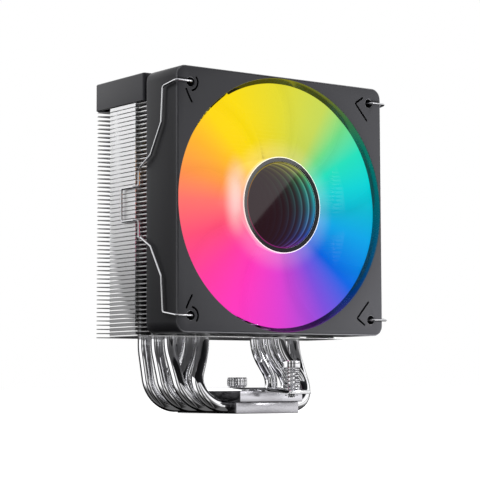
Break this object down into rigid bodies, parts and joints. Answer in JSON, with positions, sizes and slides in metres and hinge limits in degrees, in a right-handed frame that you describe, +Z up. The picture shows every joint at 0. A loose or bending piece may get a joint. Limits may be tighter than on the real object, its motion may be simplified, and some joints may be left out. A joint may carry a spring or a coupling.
{
  "type": "cpu tower cooler",
  "caption": "Tower heat sink on bent heat pipes with a lit axial fan on its front, spring-screw mounting bar and two wire fan clips.",
  "frame": {"origin": "centre of the base plate's contact face, under the mounting bar's thumb screw", "axes": "+Z up from the contact face, +X to the right seen from the fan side, +Y the way the air flows, from the fan to the rear fins"},
  "size_m": [0.1253, 0.0984, 0.1568],
  "materials": {
    "base_metal": "fine brushed nickel plate",
    "nickel": "mirror nickel plate",
    "fin_aluminium": "bare rolled sheet",
    "cover_paint": "satin dark paint",
    "fan_plastic": "fine moulded texture",
    "rubber": "moulded",
    "spring_steel": "bright drawn wire and cut sheet",
    "lit_blade": "translucent, lit from behind",
    "trim_white": "thin bright ring",
    "dark_glass": "half-silvered window",
    "mirror": "front-silvered disc",
    "motor_steel": "pressed and turned parts",
    "magnet": "bonded magnet",
    "copper": "enamelled copper winding",
    "brass": "turned",
    "board": "circuit board",
    "cable": "sleeved lead"
  },
  "bodies": {
    "cooler": {"cold_plate": "base_metal", "base_block": "base_metal", "fin_stack": "fin_aluminium", "top_cover": "cover_paint", "mounting_bar": "spring_steel", "front_spring": "spring_steel", "rear_spring": "spring_steel", "fan_frame": "fan_plastic", "stator_core": "motor_steel", "bearing_sleeve": "brass", "motor_board": "board", "light_board": "board", "fan_lead": "cable", "fan_plug": "cable", "heat_pipe_1": "nickel", "heat_pipe_2": "nickel", "heat_pipe_3": "nickel", "heat_pipe_4": "nickel", "heat_pipe_5": "nickel", "heat_pipe_6": "nickel", "stator_coil_1": "copper", "stator_coil_2": "copper", "stator_coil_3": "copper", "stator_coil_4": "copper", "rear_pad_upper_left": "rubber", "rear_pad_upper_right": "rubber", "rear_pad_lower_right": "rubber", "rear_pad_lower_left": "rubber"},
    "rotor": {"impeller": "lit_blade", "hub_ring": "trim_white", "hub_window": "dark_glass", "hub_light_ring": "lit_blade", "hub_back_mirror": "mirror", "rotor_yoke": "motor_steel", "magnet_ring": "magnet", "rotor_shaft": "motor_steel", "shaft_clip": "fan_plastic"},
    "thumb_washer": {"thumb_screw_washer": "spring_steel"},
    "thumb_knob": {"thumb_screw": "spring_steel"},
    "front_clip": {"front_screw_clip": "spring_steel"},
    "front_bolt": {"front_screw": "nickel"},
    "rear_clip": {"rear_screw_clip": "spring_steel"},
    "rear_bolt": {"rear_screw": "nickel"},
    "left_wire": {"left_wire_clip": "spring_steel"},
    "right_wire": {"right_wire_clip": "spring_steel"}
  },
  "joints": [
    {"name": "fan_spin", "type": "hinge", "parent": "cooler", "child": "rotor", "pos_m": [0, -0.0245, 0.0965], "axis": [0, 1, 0], "continuous": true},
    {"name": "thumb_screw_lift", "type": "slide", "parent": "cooler", "child": "thumb_washer", "axis": [0, 0, 1], "range_m": [0, 0.0035]},
    {"name": "thumb_screw_turn", "type": "hinge", "parent": "thumb_washer", "child": "thumb_knob", "pos_m": [0, 0, 0.0144], "axis": [0, 0, 1], "range_deg": [0, 1800]},
    {"name": "front_screw_travel", "type": "slide", "parent": "cooler", "child": "front_clip", "axis": [0, 0, 1], "range_m": [-0.004, 0], "deforming": ["front_spring"]},
    {"name": "front_screw_turn", "type": "hinge", "parent": "front_clip", "child": "front_bolt", "pos_m": [0, -0.042, 0.02], "axis": [0, 0, 1], "range_deg": [-1800, 0]},
    {"name": "rear_screw_travel", "type": "slide", "parent": "cooler", "child": "rear_clip", "axis": [0, 0, 1], "range_m": [-0.004, 0], "deforming": ["rear_spring"]},
    {"name": "rear_screw_turn", "type": "hinge", "parent": "rear_clip", "child": "rear_bolt", "pos_m": [0, 0.042, 0.02], "axis": [0, 0, 1], "range_deg": [-1800, 0]},
    {"name": "left_clip_swing", "type": "hinge", "parent": "cooler", "child": "left_wire", "pos_m": [-0.0525, -0.037, 0.0965], "axis": [0, 0, 1], "range_deg": [0, 40]},
    {"name": "right_clip_swing", "type": "hinge", "parent": "cooler", "child": "right_wire", "pos_m": [0.0525, -0.037, 0.0965], "axis": [0, 0, 1], "range_deg": [-40, 0]}
  ],
  "couplings": [
    {"joint": "thumb_screw_turn", "follows": "thumb_screw_lift", "rad_per_m": 8976},
    {"joint": "front_screw_turn", "follows": "front_screw_travel", "rad_per_m": 7854},
    {"joint": "rear_screw_turn", "follows": "rear_screw_travel", "rad_per_m": 7854}
  ]
}
